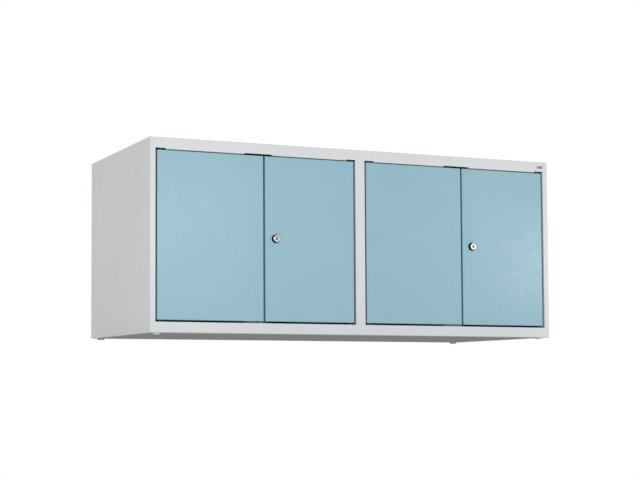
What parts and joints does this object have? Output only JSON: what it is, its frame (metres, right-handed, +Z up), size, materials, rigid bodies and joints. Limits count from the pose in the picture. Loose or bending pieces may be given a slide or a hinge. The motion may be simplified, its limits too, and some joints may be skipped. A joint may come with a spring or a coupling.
{
  "type": "school locker top cabinet",
  "caption": "Low, wide sheet-steel school locker cabinet with two bays, each closed by a pair of inset double leaves with a cylinder cam lock on the right-hand leaf.",
  "frame": {"origin": "centre of the overall footprint on the floor, under the feet; the footprint includes the locks that stand 8 mm proud of the doors", "axes": "+X to the viewer's right along the front, +Y from the doors to the back panel, +Z up"},
  "size_m": [1.19, 0.506, 0.5],
  "materials": {
    "grey_powder_coat": "light grey powder coat on sheet steel, fine orange peel, semi-matt",
    "blue_powder_coat": "pastel blue powder coat on sheet steel, fine orange peel, semi-matt",
    "zinc_steel": "zinc plated steel",
    "dark_steel": "black phosphated steel, matt",
    "magnet": "dark coated ferrite block",
    "buffer_rubber": "soft matt rubber",
    "foot_plastic": "light grey moulded glide, matt",
    "badge_plate": "blank satin plate, no lettering",
    "bush_plastic": "black moulded bush",
    "lock_black": "black satin ring",
    "lock_chrome": "satin chrome, fine turning marks"
  },
  "bodies": {
    "carcass": {"front_frame": "grey_powder_coat", "side_panel_left": "grey_powder_coat", "side_panel_right": "grey_powder_coat", "roof_panel": "grey_powder_coat", "bottom_panel": "grey_powder_coat", "back_panel": "grey_powder_coat", "centre_partition": "grey_powder_coat", "mid_post_left": "grey_powder_coat", "mid_post_right": "grey_powder_coat", "mid_partition_left": "grey_powder_coat", "mid_partition_right": "grey_powder_coat", "pivot_pins": "dark_steel", "pivot_bracket_1_top": "dark_steel", "pivot_bracket_1_bottom": "dark_steel", "pivot_bracket_2_top": "dark_steel", "pivot_bracket_2_bottom": "dark_steel", "pivot_bracket_3_top": "dark_steel", "pivot_bracket_3_bottom": "dark_steel", "pivot_bracket_4_top": "dark_steel", "pivot_bracket_4_bottom": "dark_steel", "magnet_catch_left": "magnet", "magnet_catch_right": "magnet", "door_buffers": "buffer_rubber", "foot_front_left": "foot_plastic", "foot_front_right": "foot_plastic", "foot_back_left": "foot_plastic", "foot_back_right": "foot_plastic", "glide_screws": "zinc_steel", "badge": "badge_plate"},
    "leaf_1": {"leaf_1_pan": "blue_powder_coat", "leaf_1_stiffener": "blue_powder_coat", "leaf_1_bushes": "bush_plastic"},
    "leaf_2": {"leaf_2_pan": "blue_powder_coat", "leaf_2_stiffener": "blue_powder_coat", "leaf_2_bushes": "bush_plastic", "lock_left_rosette": "lock_black", "lock_left_barrel": "lock_chrome", "lock_left_nut": "zinc_steel"},
    "leaf_3": {"leaf_3_pan": "blue_powder_coat", "leaf_3_stiffener": "blue_powder_coat", "leaf_3_bushes": "bush_plastic"},
    "leaf_4": {"leaf_4_pan": "blue_powder_coat", "leaf_4_stiffener": "blue_powder_coat", "leaf_4_bushes": "bush_plastic", "lock_right_rosette": "lock_black", "lock_right_barrel": "lock_chrome", "lock_right_nut": "zinc_steel"},
    "lock_core_left": {"lock_left_plug": "lock_chrome", "lock_left_cam": "zinc_steel", "lock_left_cam_screw": "zinc_steel"},
    "lock_core_right": {"lock_right_plug": "lock_chrome", "lock_right_cam": "zinc_steel", "lock_right_cam_screw": "zinc_steel"}
  },
  "joints": [
    {"name": "leaf_1_hinge", "type": "hinge", "parent": "carcass", "child": "leaf_1", "pos_m": [-0.5652, -0.238, 0.2523], "axis": [0, 0, -1], "range_deg": [0, 110]},
    {"name": "leaf_2_hinge", "type": "hinge", "parent": "carcass", "child": "leaf_2", "pos_m": [-0.0288, -0.238, 0.2523], "axis": [0, 0, 1], "range_deg": [0, 93]},
    {"name": "leaf_3_hinge", "type": "hinge", "parent": "carcass", "child": "leaf_3", "pos_m": [0.0288, -0.238, 0.2523], "axis": [0, 0, -1], "range_deg": [0, 93]},
    {"name": "leaf_4_hinge", "type": "hinge", "parent": "carcass", "child": "leaf_4", "pos_m": [0.5652, -0.238, 0.2523], "axis": [0, 0, 1], "range_deg": [0, 110]},
    {"name": "lock_left_turn", "type": "hinge", "parent": "leaf_2", "child": "lock_core_left", "pos_m": [-0.2475, -0.245, 0.2523], "axis": [0, 1, 0], "range_deg": [0, 90]},
    {"name": "lock_right_turn", "type": "hinge", "parent": "leaf_4", "child": "lock_core_right", "pos_m": [0.3465, -0.245, 0.2523], "axis": [0, 1, 0], "range_deg": [0, 90]}
  ]
}
